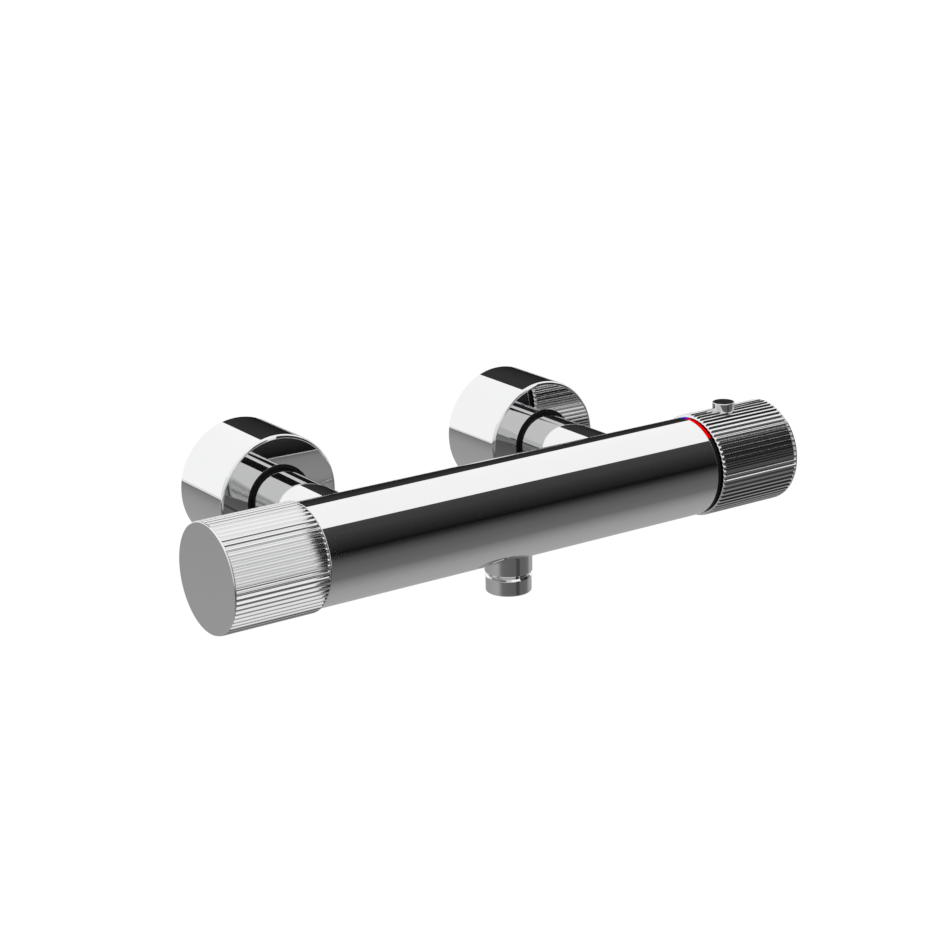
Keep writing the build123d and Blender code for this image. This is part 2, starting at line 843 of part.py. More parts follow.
def ceramic_disc(low, port_turn_deg):
    high = low + ceramic_thickness
    disc = rod(disc_bore() - seat_clearance, low, high)
    for turn in (0, 180):
        start_deg = port_turn_deg + turn - ceramic_port_deg / 2
        disc -= wedge(ceramic_port_outer, ceramic_port_inner, low - overrun, high + overrun,
                      start_deg, ceramic_port_deg)
    return disc


def fixed_disc():
    return ceramic_disc(seal_end(), 0)


def turning_disc():
    slot_low = driver_start() - ceramic_slot_depth
    slot = Pos(0, 0, slot_low + ceramic_slot_depth) * Box(
        ceramic_slot_length + 2 * seat_clearance, ceramic_slot_width, 2 * ceramic_slot_depth)
    return ceramic_disc(turning_face(), closed_turn_deg) - slot


def flow_spindle():
    tongue_end = driver_start() - ceramic_slot_depth + seat_clearance
    bar_end = driver_start() + driver_bar_thickness
    bar_start = driver_start() + seat_clearance / 2
    tongue_width = ceramic_slot_width - seat_clearance
    round_bar = rod(disc_bore() - free_gap, bar_start, bar_end)
    side_bar = Pos(0, 0, (bar_start + bar_end) / 2) * Box(
        2 * disc_bore(), driver_bar_width, bar_end - bar_start)
    tongue = Box(ceramic_slot_length, tongue_width, bar_end - tongue_end)
    tongue = Pos(0, 0, (tongue_end + bar_end) / 2) * tongue
    journal_end = casing_left + flow_journal_end
    spindle = (round_bar & side_bar) + tongue
    spindle += rod(flow_journal_radius, bar_end - overrun, journal_end)
    return spindle + spindle_stub(journal_end)


# Thermostat cartridge: sleeve, wax element, shuttle, spring, pusher, spindle and cap

def sleeve_start():
    return cartridge_floor + cartridge_floor_gap


def hot_waist_end():
    return sleeve_start() + cartridge_hot_waist


def cold_waist_start():
    return hot_waist_end() + cartridge_middle_land


def cold_waist_end():
    return cold_waist_start() + cartridge_cold_waist


def sleeve_end():
    return cold_waist_end() + cartridge_outer_land


def cartridge_sleeve():
    chamber = sleeve_start() + cartridge_end_wall
    spigot_start = cartridge_floor - cartridge_spigot_length + free_gap
    sleeve = turned(
        (mixed_bore_radius, spigot_start), (cartridge_spigot_radius, spigot_start),
        (cartridge_spigot_radius, sleeve_start()), (cartridge_waist_radius, sleeve_start()),
        (cartridge_waist_radius, hot_waist_end()), (cartridge_radius, hot_waist_end()),
        (cartridge_radius, cold_waist_start()), (cartridge_waist_radius, cold_waist_start()),
        (cartridge_waist_radius, cold_waist_end()), (cartridge_radius, cold_waist_end()),
        (cartridge_radius, sleeve_end()), (cartridge_bore_radius, sleeve_end()),
        (cartridge_bore_radius, chamber), (mixed_bore_radius, chamber))
    half = large_ring_wire + seat_clearance
    for height in cartridge_seal_heights():
        sleeve -= tube(cartridge_radius + overrun, seal_floor(), height - half, height + half)
    hot_ports = hot_waist_end() - port_radius - shuttle_hot_gap
    cold_ports = cold_waist_start() + port_radius + shuttle_hot_gap
    for height in (hot_ports, cold_ports):
        for place in range(port_count):
            port = Rot(0, 90, 0) * rod(port_radius, cartridge_bore_radius - overrun, cartridge_radius)
            sleeve -= Rot(0, 0, 360 * place / port_count) * Pos(0, 0, height) * port
    return sleeve


def seal_floor():
    return cartridge_radius - 2 * large_ring_wire + seat_clearance / 2


def cartridge_seal_heights():
    middle = hot_waist_end() + cartridge_middle_land / 2
    outer = cold_waist_end() + cartridge_outer_land / 2
    return middle, outer


def cartridge_seals():
    centre = cartridge_radius + seat_clearance - large_ring_wire
    return [ring(centre, large_ring_wire, height) for height in cartridge_seal_heights()]


def shuttle_start():
    return hot_waist_end() - shuttle_hot_gap


def web_start():
    return shuttle_start() + (shuttle_length - shuttle_web) / 2


def shuttle():
    outer = cartridge_bore_radius - running_clearance
    inner = outer - shuttle_wall
    end = shuttle_start() + shuttle_length
    web_low, web_high = web_start(), web_start() + shuttle_web
    body = tube(outer, inner, shuttle_start(), end)
    body += tube(inner + overrun, wax_bulb_radius + seat_clearance, web_low, web_high)
    hole_place = (inner + wax_bulb_radius) / 2
    hole = off_axis_rod(hole_place, shuttle_hole_radius, web_low - overrun, web_high + overrun)
    for place in range(shuttle_hole_count):
        body -= Rot(0, 0, 360 * place / shuttle_hole_count) * hole
    return body


def wax_element():
    web_end_height = web_start() + shuttle_web
    collar_end = web_end_height + shuttle_web / 2
    pin_end = web_end_height + wax_pin_length
    return turned(
        (0, web_start() - wax_bulb_length), (wax_bulb_radius, web_start() - wax_bulb_length),
        (wax_bulb_radius, web_end_height), (wax_collar_radius, web_end_height),
        (wax_collar_radius, collar_end), (wax_pin_radius, collar_end),
        (wax_pin_radius, pin_end), (0, pin_end))


def return_spring():
    low = sleeve_start() + cartridge_end_wall
    return coil(return_spring_radius, return_spring_wire, low, web_start(), return_spring_turns)


def pusher_start():
    return web_start() + shuttle_web + wax_pin_length


def pusher_nut():
    end = pusher_start() + pusher_length
    hole = regulating_thread_radius + running_clearance
    body = rod(cartridge_bore_radius - running_clearance, pusher_start(), end)
    return body - rod(hole, pusher_start() + pusher_floor, end + overrun)


def cap_collar_end():
    return sleeve_end() + seat_clearance + thrust_collar


def regulating_spindle():
    thread_start = pusher_start() + pusher_floor + regulating_end_gap
    collar_start = sleeve_end() + running_clearance
    collar_end = cap_collar_end() - running_clearance
    journal_end = knob_near + cap_boss_end + seat_clearance
    screw = turned(
        (0, thread_start), (regulating_thread_radius, thread_start),
        (regulating_thread_radius, collar_start), (thrust_collar_radius, collar_start),
        (thrust_collar_radius, collar_end), (regulating_journal_radius, collar_end),
        (regulating_journal_radius, journal_end), (0, journal_end))
    return screw + spindle_stub(journal_end)


def cartridge_cap():
    start = sleeve_end() + seat_clearance / 2
    hex_end = cartridge_mouth + cap_hex_length
    end = knob_near + cap_boss_end
    journal = regulating_journal_radius + running_clearance
    cap = rod(cartridge_radius, start, cartridge_mouth)
    cap += hexagon(cap_hex, cartridge_mouth, hex_end)
    cap += rod(cap_boss_radius, cartridge_mouth, end)
    cap -= rod(thrust_collar_radius + running_clearance, start - overrun, cap_collar_end())
    return cap - rod(journal, start, end + overrun)


os.makedirs("parts", exist_ok=True)


def save(node, shape):
    solids = list(shape) if isinstance(shape, list) else shape.solids()
    export_step(Compound(label=node, children=solids), f"parts/{node}.step")


save("bar_casing", casing())
save("water_body", water_body())
save("neck_seals", neck_seals())
for side in sides:
    frame = inlet(side)
    save(f"inlet_neck_{side}", frame * neck())
    save(f"tail_piece_{side}", frame * tail_piece())
    save(f"union_nut_{side}", frame * union_nut())
    save(f"sealing_washer_{side}", frame * sealing_washer())
    save(f"strainer_{side}", frame * strainer())
    save(f"eccentric_union_{side}", frame * eccentric_union())
    save(f"escutcheon_{side}", frame * escutcheon())
    save(f"grip_ring_{side}", frame * grip_ring())
    save(f"check_cage_{side}", frame * check_cage())
    save(f"check_poppet_{side}", frame * poppet())
    save(f"check_spring_{side}", frame * check_spring())
save("outlet_nipple", outlet_side * outlet_nipple())
save("outlet_seal", outlet_side * outlet_seal())

save("flow_stop_ring", flow_side * flow_stop_ring())
save("flow_knob", flow_side * knob_sleeve())
save("flow_knob_disc", flow_side * end_disc())
save("flow_knob_hub", flow_side * knob_hub(flow_lug_middle(), flow_turn_deg))
save("flow_knob_screw", flow_side * knob_screw())
save("valve_housing", flow_side * valve_housing())
save("valve_seals", flow_side * valve_seals())
save("disc_seal", flow_side * disc_seal())
save("fixed_ceramic_disc", flow_side * fixed_disc())
save("turning_ceramic_disc", flow_side * turning_disc())
save("flow_spindle", flow_side * flow_spindle())

save("temperature_stop_ring", temperature_side * temperature_stop_ring())
save("scale_ring", temperature_side * scale_ring())
save("hot_mark", temperature_side * hot_mark())
save("cold_mark", temperature_side * cold_mark())
save("temperature_knob", temperature_knob())
save("temperature_knob_disc", temperature_side * end_disc())
save("temperature_knob_hub", temperature_hub())
save("temperature_knob_screw", temperature_side * knob_screw())
save("safety_button", button_frame() * safety_button())
save("button_spring", button_frame() * button_spring())
save("cartridge_sleeve", temperature_side * cartridge_sleeve())
save("cartridge_seals", [temperature_side * seal for seal in cartridge_seals()])
save("regulating_shuttle", temperature_side * shuttle())
save("wax_element", temperature_side * wax_element())
save("return_spring", temperature_side * return_spring())
save("pusher_nut", temperature_side * pusher_nut())
save("regulating_spindle", temperature_side * regulating_spindle())
save("cartridge_cap", temperature_side * cartridge_cap())
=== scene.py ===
import math

import bpy
from mathutils import Matrix, Vector


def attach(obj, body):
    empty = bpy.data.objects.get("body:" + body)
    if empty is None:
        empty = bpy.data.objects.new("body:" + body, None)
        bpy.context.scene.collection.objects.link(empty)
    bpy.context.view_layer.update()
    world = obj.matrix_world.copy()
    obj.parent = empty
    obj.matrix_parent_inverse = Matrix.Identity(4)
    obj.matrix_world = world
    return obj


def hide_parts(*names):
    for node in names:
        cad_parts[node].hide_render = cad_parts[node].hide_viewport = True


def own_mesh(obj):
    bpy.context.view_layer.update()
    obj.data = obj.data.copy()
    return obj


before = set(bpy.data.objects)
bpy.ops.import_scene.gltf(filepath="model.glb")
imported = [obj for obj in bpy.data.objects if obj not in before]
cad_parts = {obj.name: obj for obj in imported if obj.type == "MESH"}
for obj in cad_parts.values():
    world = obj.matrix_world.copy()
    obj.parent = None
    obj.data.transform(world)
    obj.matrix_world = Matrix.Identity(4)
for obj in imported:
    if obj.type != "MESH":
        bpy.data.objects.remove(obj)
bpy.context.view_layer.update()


# Bar casing. A drawn brass tube, its ends faced and eased, polished and chromed all over. It slips
# over the water body, and the two necks and the outlet come through its wall.

BAR_OUT, BAR_RISE = -0.1128, 0.008
BAR = Matrix.Translation((0, BAR_OUT, BAR_RISE))
ALONG_BAR = BAR @ Matrix.Rotation(math.radians(90), 4, "Y")
CASING_RADIUS, CASING_BORE = 0.0233, 0.0215
CASING_LEFT, CASING_RIGHT = -0.1068, 0.1044
CASING_EASE = 0.0003
TURN_FACETS = 192
SHARP_CORNER = math.radians(28)
FLAT_WEIGHT = 80
CLOSE, WELD = 1e-6, 1e-7


class Signal:
    """One output in a finish's node tree, which sums and products can use."""

    def __init__(self, finish, socket):
        self.finish, self.socket = finish, socket

    def __add__(self, other):
        return self.finish.maths("ADD", self, other)

    def __sub__(self, other):
        return self.finish.maths("SUBTRACT", self, other)

    def __mul__(self, other):
        return self.finish.maths("MULTIPLY", self, other)

    def __truediv__(self, other):
        return self.finish.maths("DIVIDE", self, other)

    __radd__ = __add__


class Finish:
    """The node tree of a material or of the world, emptied and built up anew."""

    def __init__(self, owner):
        owner.use_nodes = True
        self.owner, self.tree = owner, owner.node_tree
        self.tree.nodes.clear()

    def node(self, kind, settings=(), inputs=(), output=0):
        """Adds a node, makes its settings, fills its sockets and gives one of its outputs."""
        made = self.tree.nodes.new(kind)
        for key, value in dict(settings).items():
            setattr(made, key, value)
        for key, value in dict(inputs).items():
            if isinstance(value, Signal):
                self.tree.links.new(value.socket, made.inputs[key])
            else:
                made.inputs[key].default_value = value
        return Signal(self, made.outputs[output]) if len(made.outputs) else made

    def maths(self, operation, first, second):
        return self.node("ShaderNodeMath", {"operation": operation}, {0: first, 1: second})

    def place(self):
        return self.node("ShaderNodeTexCoord", output="Object")

    def noise(self, scale, detail=2.0, stretch=(1, 1, 1)):
        """Cloudy noise over the object's own coordinates, drawn out along the axes by stretch."""
        at = self.node("ShaderNodeVectorMath", {"operation": "MULTIPLY"}, {0: self.place(), 1: stretch})
        return self.node("ShaderNodeTexNoise", (), {"Vector": at, "Scale": scale, "Detail": detail})

    def tint(self, share, first, second):
        """A colour that goes from the first to the second as the share goes from 0 to 1."""
        inputs = {"Factor": share, 6: (*first, 1), 7: (*second, 1)}
        return self.node("ShaderNodeMix", {"data_type": "RGBA"}, inputs, 2)

    def bump(self, height, strength, depth):
        return self.node("ShaderNodeBump", (), {"Height": height, "Strength": strength, "Distance": depth})

    def surface(self, **sockets):
        inputs = {name.replace("_", " "): value for name, value in sockets.items()}
        shader = self.node("ShaderNodeBsdfPrincipled", (), inputs)
        self.node("ShaderNodeOutputMaterial", (), {"Surface": shader})
        return self.owner


def chrome_finish():
    """Bright chrome on polished brass, a little uneven in tone and polish."""
    finish = Finish(bpy.data.materials.new("bright_chrome"))
    cloud = finish.noise(scale=35.0)
    wipe = finish.noise(scale=260.0, detail=3.0, stretch=(1, 1, 2.5))
    return finish.surface(
        Base_Color=finish.tint(cloud, first=(0.668, 0.67, 0.673), second=(0.688, 0.689, 0.69)),
        Metallic=1.0,
        Roughness=0.012 + cloud * 0.012 + wipe * 0.01,
        Normal=finish.bump(wipe, strength=0.02, depth=0.00002))


CHROME = chrome_finish()


def arc(radius, height, bend, start_deg, end_deg, steps=6):
    """Outline points on an arc about (radius, height), where 0 degrees is straight outwards."""
    turns = [math.radians(start_deg + (end_deg - start_deg) * step / steps) for step in range(steps + 1)]
    return [(radius + bend * math.cos(turn), height + bend * math.sin(turn)) for turn in turns]


def turned(outline, capped=False, facets=TURN_FACETS):
    """Turns a piece about Z from (radius, height) points, each with a sideways shift if it has one."""
    bpy.ops.object.select_all(action="DESELECT")
    fill = "NGON" if capped else "NOTHING"
    radius, height, shift = (*outline[0], 0)[:3]
    bpy.ops.mesh.primitive_circle_add(vertices=facets, radius=radius, fill_type=fill,
                                      location=(0, shift, height))
    piece = bpy.context.object
    bpy.ops.object.transform_apply()
    bpy.ops.object.mode_set(mode="EDIT")
    bpy.ops.mesh.select_all(action="SELECT")
    for point in outline[1:]:
        next_radius, next_height, next_shift = (*point, 0)[:3]
        move = (0, next_shift - shift, next_height - height)
        bpy.ops.mesh.extrude_region_move(TRANSFORM_OT_translate={"value": move})
        growth = next_radius / radius
        bpy.ops.transform.resize(value=(growth, growth, 1), center_override=(0, next_shift, next_height))
        radius, height, shift = next_radius, next_height, next_shift
    bpy.ops.mesh.select_all(action="SELECT")
    bpy.ops.mesh.remove_doubles(threshold=WELD)
    bpy.ops.mesh.normals_make_consistent(inside=False)
    bpy.ops.object.mode_set(mode="OBJECT")
    return piece


def use_modifier(piece, kind, **settings):
    bpy.context.view_layer.objects.active = piece
    modifier = piece.modifiers.new(kind.lower(), kind)
    for key, value in settings.items():
        setattr(modifier, key, value)
    bpy.ops.object.modifier_apply(modifier=modifier.name)


def ease_edges(piece, width, segments=3):
    """Rounds every sharp edge a little, and leaves the flats looking flat."""
    bpy.ops.object.select_all(action="DESELECT")
    piece.select_set(True)
    bpy.context.view_layer.objects.active = piece
    bpy.ops.object.shade_smooth()
    use_modifier(piece, "BEVEL", width=width, segments=segments, limit_method="ANGLE",
                 angle_limit=SHARP_CORNER)
    use_modifier(piece, "WEIGHTED_NORMAL", mode="FACE_AREA", weight=FLAT_WEIGHT)
    return piece


def seat(piece, place):
    """Moves a piece from where it was made to its place, and keeps the place in its mesh."""
    bpy.ops.object.select_all(action="DESELECT")
    piece.select_set(True)
    bpy.context.view_layer.objects.active = piece
    piece.matrix_world = place
    bpy.ops.object.transform_apply(location=True, rotation=True, scale=True)
    return piece


def fit(piece, name, body, finish, node):
    """Names a finished piece, gives it its finish, hangs it on the body that carries it, and hides the
    solid that it stands in for.
    """
    piece.name = name
    piece.data.name = name
    piece.data.materials.clear()
    piece.data.materials.append(finish)
    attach(piece, body)
    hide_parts(node)


def copied(piece):
    """A twin of a piece, with a mesh of its own."""
    twin = piece.copy()
    twin.data = piece.data.copy()
    bpy.context.scene.collection.objects.link(twin)
    return twin


casing = ease_edges(turned([
    (CASING_BORE, CASING_LEFT), (CASING_RADIUS, CASING_LEFT), (CASING_RADIUS, CASING_RIGHT),
    (CASING_BORE, CASING_RIGHT), (CASING_BORE, CASING_LEFT)]), CASING_EASE)
fit(seat(casing, ALONG_BAR), "casing", "fixed_body", CHROME, "bar_casing")


# Knob sleeves. Two chromed castings with straight ribs all round, alike but turned end for end, and
# rounded where they meet the bar. The right one has a hole on top for the safety button.

TEMPERATURE_SIDE = ALONG_BAR @ Matrix.Rotation(math.radians(180), 4, "Z")
FLOW_SIDE = BAR @ Matrix.Rotation(math.radians(-90), 4, "Y")
RIB_COUNT, RIB_TIP = 64, 0.0244
RIB_STEPS = 8
RIB_DROPS = (0.00004, 0.0, 0.000424, 0.00076, 0.00091)
RIB_CREASE = math.radians(60)
KNOB_BORE, KNOB_NEAR, KNOB_FAR = 0.0212, 0.1072, 0.1522
KNOB_NOSE, NOSE_MARGIN, NOSE_STEPS = 0.0012, 0.0002, 6
BUTTON_PLACE, BUTTON_HOLE, BUTTON_FACETS = 0.1269, 0.0053, 96
HOLE_DEPTH, HOLE_MIDDLE = RIB_TIP * 1.2, RIB_TIP * 0.8


def ribs(limit):
    """Gives the radius at each step from one rib's crest to the next, held within a limit.

    The drops go from the middle of a flat crest, down a side at about 50 degrees, to a round floor."""
    return lambda step: min(RIB_TIP - RIB_DROPS[min(step, RIB_STEPS - step)], limit)


def rib_step(point):
    """Which step of its rib a point stands on."""
    return round(math.atan2(point.y, point.x) / math.tau * RIB_COUNT % 1 * RIB_STEPS) % RIB_STEPS


def pick(piece, test):
    """In edit mode, selects the points of a piece that pass a test."""
    bpy.ops.mesh.select_all(action="DESELECT")
    bpy.ops.object.mode_set(mode="OBJECT")
    for point in piece.data.vertices:
        point.select = test(point.co)
    bpy.ops.object.mode_set(mode="EDIT")


def ribbed_ring(sleeve, height, now, wanted):
    """Brings the points at a height from the radii that they have to the ones wanted, step by step."""
    for step in range(RIB_STEPS):
        share = wanted(step) / now(step)
        if abs(share - 1) > CLOSE:
            pick(sleeve, lambda co: abs(co.z - height) < CLOSE and rib_step(co) == step
                 and abs(co.to_2d().length - now(step)) < CLOSE)
            bpy.ops.transform.resize(value=(share, share, 1), center_override=(0, 0, height))


def knob_sleeve():
    """A sleeve about Z, made ring by ring from its outer end, round the nose and back through the bore.

    The ring just before the nose keeps the smooth shading of the nose off the ribs' long sides."""
    bpy.ops.object.select_all(action="DESELECT")
    bpy.ops.mesh.primitive_circle_add(vertices=RIB_COUNT * RIB_STEPS, radius=KNOB_BORE,
                                      location=(0, 0, KNOB_FAR), rotation=(0, 0, math.radians(-90)))
    sleeve = bpy.context.object
    bpy.ops.object.transform_apply(location=True, rotation=True, scale=True)
    bpy.ops.object.mode_set(mode="EDIT")
    bpy.ops.mesh.select_all(action="SELECT")
    bpy.ops.mesh.extrude_region_move()
    growth = RIB_TIP / KNOB_BORE
    bpy.ops.transform.resize(value=(growth, growth, 1), center_override=(0, 0, KNOB_FAR))
    old, old_height = ribs(RIB_TIP), KNOB_FAR
    ribbed_ring(sleeve, KNOB_FAR, lambda step: RIB_TIP, old)
    nose = arc(RIB_TIP - KNOB_NOSE, KNOB_NEAR + KNOB_NOSE, KNOB_NOSE, 0, -90, NOSE_STEPS)
    for limit, height in [(RIB_TIP, KNOB_NEAR + KNOB_NOSE + NOSE_MARGIN), *nose]:
        pick(sleeve, lambda co: abs(co.z - old_height) < CLOSE
             and abs(co.to_2d().length - old(rib_step(co))) < CLOSE)
        bpy.ops.mesh.extrude_region_move(TRANSFORM_OT_translate={"value": (0, 0, height - old_height)})
        ribbed_ring(sleeve, height, old, ribs(limit))
        old, old_height = ribs(limit), height
    pick(sleeve, lambda co: abs(co.z - KNOB_NEAR) < CLOSE)
    bpy.ops.mesh.extrude_region_move()
    shrink = KNOB_BORE / (RIB_TIP - KNOB_NOSE)
    bpy.ops.transform.resize(value=(shrink, shrink, 1), center_override=(0, 0, KNOB_NEAR))
    rise = (0, 0, KNOB_FAR - KNOB_NEAR)
    bpy.ops.mesh.extrude_region_move(TRANSFORM_OT_translate={"value": rise})
    bpy.ops.mesh.select_all(action="SELECT")
    bpy.ops.mesh.remove_doubles(threshold=WELD)
    bpy.ops.mesh.normals_make_consistent(inside=False)
    bpy.ops.object.mode_set(mode="OBJECT")
    bpy.ops.object.shade_smooth_by_angle(angle=RIB_CREASE)
    return sleeve


def cut(piece, cutter, operation="DIFFERENCE"):
    """Cuts a piece with another, which is used up."""
    use_modifier(piece, "BOOLEAN", operation=operation, object=cutter, solver="EXACT")
    bpy.data.objects.remove(cutter)


flow_knob = knob_sleeve()
temperature_knob = copied(flow_knob)
fit(seat(flow_knob, FLOW_SIDE), "flow_sleeve", "flow_knob_body", CHROME, "flow_knob")
seat(temperature_knob, TEMPERATURE_SIDE)
bpy.ops.object.select_all(action="DESELECT")
bpy.ops.mesh.primitive_cylinder_add(vertices=BUTTON_FACETS, radius=BUTTON_HOLE, depth=HOLE_DEPTH,
                                    location=BAR @ Vector((BUTTON_PLACE, 0, HOLE_MIDDLE)))
cut(temperature_knob, bpy.context.object)
fit(temperature_knob, "temperature_sleeve", "temperature_knob_body", CHROME, "temperature_knob")


# End discs. Plain polished caps pressed into the sleeves' outer ends, with a thin bevelled edge that
# stands just inside the crests of the ribs.

DISC_RADIUS, DISC_FACE, DISC_EDGE = 0.0242, 0.153, 0.00025
SPIGOT_START, SPIGOT_RADIUS, SPIGOT_BORE = 0.1482, 0.0211, 0.0196
SMALL_EASE = 0.00006

flow_disc = ease_edges(turned([
    (SPIGOT_BORE, KNOB_FAR), (SPIGOT_BORE, SPIGOT_START), (SPIGOT_RADIUS, SPIGOT_START),
    (SPIGOT_RADIUS, KNOB_FAR), (DISC_RADIUS, KNOB_FAR), (DISC_RADIUS, DISC_FACE - DISC_EDGE),
    (DISC_RADIUS - DISC_EDGE, DISC_FACE)], capped=True), SMALL_EASE)
temperature_disc = copied(flow_disc)
fit(seat(flow_disc, FLOW_SIDE), "flow_end_disc", "flow_knob_body", CHROME, "flow_knob_disc")
fit(seat(temperature_disc, TEMPERATURE_SIDE), "temperature_end_disc", "temperature_knob_body",
    CHROME, "temperature_knob_disc")


# Safety button. A small chromed cap on a stem in the top of the temperature knob. A spring holds it
# out, and its foot keeps it from leaving the hub.

BUTTON_AXIS = BAR @ Matrix.Translation((BUTTON_PLACE, 0, 0))
BUTTON_RADIUS, BUTTON_TOP = 0.00525, 0.028
BUTTON_SKIRT, BUTTON_POCKET, BUTTON_ROOF = 0.022, 0.00435, 0.027
STEM_RADIUS, FOOT_RADIUS, FOOT_LOW, FOOT_HIGH = 0.0018, 0.003, 0.0164, 0.0177
BUTTON_ROUND = 0.0003

button = turned([
    (FOOT_RADIUS, FOOT_LOW), (FOOT_RADIUS, FOOT_HIGH), (STEM_RADIUS, FOOT_HIGH), (STEM_RADIUS, BUTTON_ROOF),
    (BUTTON_POCKET, BUTTON_ROOF), (BUTTON_POCKET, BUTTON_SKIRT), (BUTTON_RADIUS, BUTTON_SKIRT),
    *arc(BUTTON_RADIUS - BUTTON_ROUND, BUTTON_TOP - BUTTON_ROUND, BUTTON_ROUND, 0, 90)],
    capped=True, facets=BUTTON_FACETS)
fit(seat(ease_edges(button, SMALL_EASE), BUTTON_AXIS), "button", "button_body", CHROME,
    "safety_button")


# Escutcheons. Deep round cups of drawn brass, chromed inside and out, that hide the unions and slide
# forward on the necks. The front is flat with a rounded rim.

INLETS = {"hot": -0.075, "cold": 0.075}
CUP_RADIUS, CUP_BORE, CUP_DEPTH = 0.0304, 0.0288, 0.0382
CUP_ROUND, CUP_ROUND_STEPS, CUP_FLOOR, CUP_HOLE = 0.0016, 10, 0.0364, 0.01645
CUP_EASE = 0.00015


def inlet(side):
    """Where a side's pieces go: their Z leaves the wall along the neck, and their Y points up."""
    return Matrix.Translation((INLETS[side], 0, BAR_RISE)) @ Matrix.Rotation(math.radians(90), 4, "X")


def on_both_inlets(piece, name, body, finish, node):
    """Fits a piece on the hot side and its twin on the cold side."""
    for side, made in (("cold", copied(piece)), ("hot", piece)):
        seat(made, inlet(side))
        fit(made, f"{name}_{side}", body.format(side), finish, f"{node}_{side}")


cup = ease_edges(turned([
    (CUP_BORE, 0), (CUP_RADIUS, 0),
    *arc(CUP_RADIUS - CUP_ROUND, CUP_DEPTH - CUP_ROUND, CUP_ROUND, 0, 90, CUP_ROUND_STEPS),
    (CUP_HOLE, CUP_DEPTH), (CUP_HOLE, CUP_FLOOR), (CUP_BORE, CUP_FLOOR), (CUP_BORE, 0)]), CUP_EASE)
on_both_inlets(cup, "cup", "{}_escutcheon_body", CHROME, "escutcheon")


# Grip rings. Soft black rubber rings in the cups' front holes. They hold a cup where it is pushed to
# on its neck, and a lip behind the front keeps them in.

RING_BORE, RING_RADIUS, RING_LIP = 0.01455, 0.0164, 0.0176
RING_BACK, RING_FRONT = 0.0351, 0.038
RING_EASE = 0.00025


def rubber_finish(name, dark, pale, rough, shine=0.35):
    """Moulded black rubber: matt and a little cloudy, with a fine grain."""
    finish = Finish(bpy.data.materials.new(name))
    grain = finish.noise(scale=2600.0, detail=3.0)
    bloom = finish.noise(scale=120.0)
    return finish.surface(
        Base_Color=finish.tint(bloom, dark, pale),
        Roughness=rough + grain * 0.16,
        Specular_IOR_Level=shine,
        Normal=finish.bump(grain, strength=0.25, depth=0.00004))


DEEP_BLACK, SOFT_BLACK = (0.003, 0.003, 0.003), (0.006, 0.006, 0.006)
RUBBER = rubber_finish("grip_rubber", DEEP_BLACK, SOFT_BLACK, rough=0.5, shine=0.12)

grip = ease_edges(turned([
    (RING_BORE, RING_BACK), (RING_LIP, RING_BACK), (RING_LIP, CUP_FLOOR), (RING_RADIUS, CUP_FLOOR),
    (RING_RADIUS, RING_FRONT), (RING_BORE, RING_FRONT), (RING_BORE, RING_BACK)]), RING_EASE)
on_both_inlets(grip, "grip", "{}_escutcheon_body", RUBBER, "grip_ring")


# Inlet necks. Chromed brass tubes that are screwed home over the water body's bosses and hold the
# check valves and the union nuts' tail pieces.

NECK_RADIUS, NECK_BORE, NECK_SOCKET, NECK_BOSS = 0.0145, 0.0092, 0.0101, 0.0121
NECK_BACK, NECK_STEP, NECK_SEAT, NECK_END = 0.0265, 0.0417, 0.0902, 0.0958
NECK_EASE = 0.0003

neck = ease_edges(turned([
    (NECK_SOCKET, NECK_BACK), (NECK_RADIUS, NECK_BACK), (NECK_RADIUS, NECK_END), (NECK_BOSS, NECK_END),
    (NECK_BOSS, NECK_SEAT), (NECK_BORE, NECK_SEAT), (NECK_BORE, NECK_STEP), (NECK_SOCKET, NECK_STEP),
    (NECK_SOCKET, NECK_BACK)]), NECK_EASE)
on_both_inlets(neck, "neck", "fixed_body", CHROME, "inlet_neck")


# Outlet nipple. A chromed brass end under the bar, with a V groove above the half-inch end that the
# shower hose is screwed on.

DOWN = BAR @ Matrix.Rotation(math.radians(180), 4, "X")
OUTLET_BORE, OUTLET_SPIGOT, OUTLET_NECK = 0.0062, 0.009, 0.0109
GROOVE_FLOOR, HOSE_END = 0.0096, 0.0104775
SPIGOT_TOP, SHOULDER, NECK_FOOT, GROOVE_HIGH, GROOVE_LOW = 0.014, 0.0204, 0.029, 0.0303, 0.0307
HOSE_TOP, HOSE_CORNER, HOSE_TIP = 0.0315775, 0.0383, 0.0387
CORNER_RADIUS = 0.0100775
OUTLET_EASE = 0.00012

nipple = turned([
    (OUTLET_BORE, SPIGOT_TOP), (OUTLET_SPIGOT, SPIGOT_TOP), (OUTLET_SPIGOT, SHOULDER),
    (OUTLET_NECK, SHOULDER), (OUTLET_NECK, NECK_FOOT), (GROOVE_FLOOR, GROOVE_HIGH),
    (GROOVE_FLOOR, GROOVE_LOW), (HOSE_END, HOSE_TOP), (HOSE_END, HOSE_CORNER), (CORNER_RADIUS, HOSE_TIP),
    (OUTLET_BORE, HOSE_TIP), (OUTLET_BORE, SPIGOT_TOP)])
fit(seat(ease_edges(nipple, OUTLET_EASE), DOWN), "hose_nipple", "fixed_body", CHROME,
    "outlet_nipple")


# Scale ring. A black plastic ring between the bar and the temperature knob, with a red and a blue
# part let into its top: hot towards the user, cold towards the wall.

SCALE_RADIUS, SCALE_BORE = 0.0232, 0.02235
SCALE_NEAR, SCALE_FAR = 0.10445, 0.1062
MARK_SPLIT_DEG, MARK_SPAN_DEG = -4.0, 45.5
ARC_STEP_DEG = 1.9


